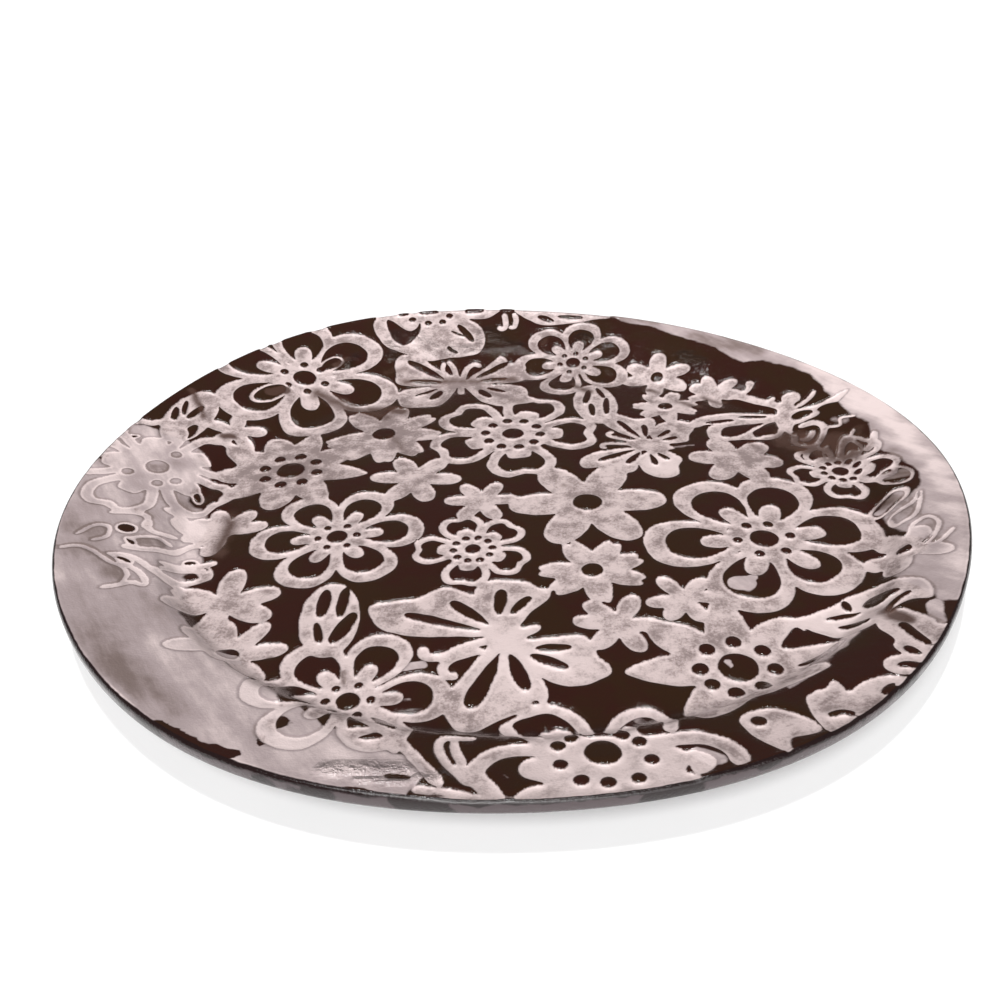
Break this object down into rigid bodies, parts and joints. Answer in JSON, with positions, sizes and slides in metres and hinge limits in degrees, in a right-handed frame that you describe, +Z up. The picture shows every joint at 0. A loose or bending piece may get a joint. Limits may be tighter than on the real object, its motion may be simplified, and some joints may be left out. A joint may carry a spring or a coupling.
{
  "type": "decorative platter",
  "caption": "Shallow hand-formed ceramic platter, uneven round outline, floral lace pattern pressed into a dark glazed face with pale glaze pooled in it.",
  "frame": {"origin": "centre of the flat underside, on the surface that the platter rests on, under the middle of the outline's box", "axes": "+Z up out of the dish, +X to the right and +Y to the far, highest side of the rim as the picture shows it"},
  "size_m": [0.35, 0.3351, 0.0231],
  "materials": {
    "glazed_clay": null
  },
  "bodies": {
    "root": {"platter": "glazed_clay"}
  },
  "joints": []
}
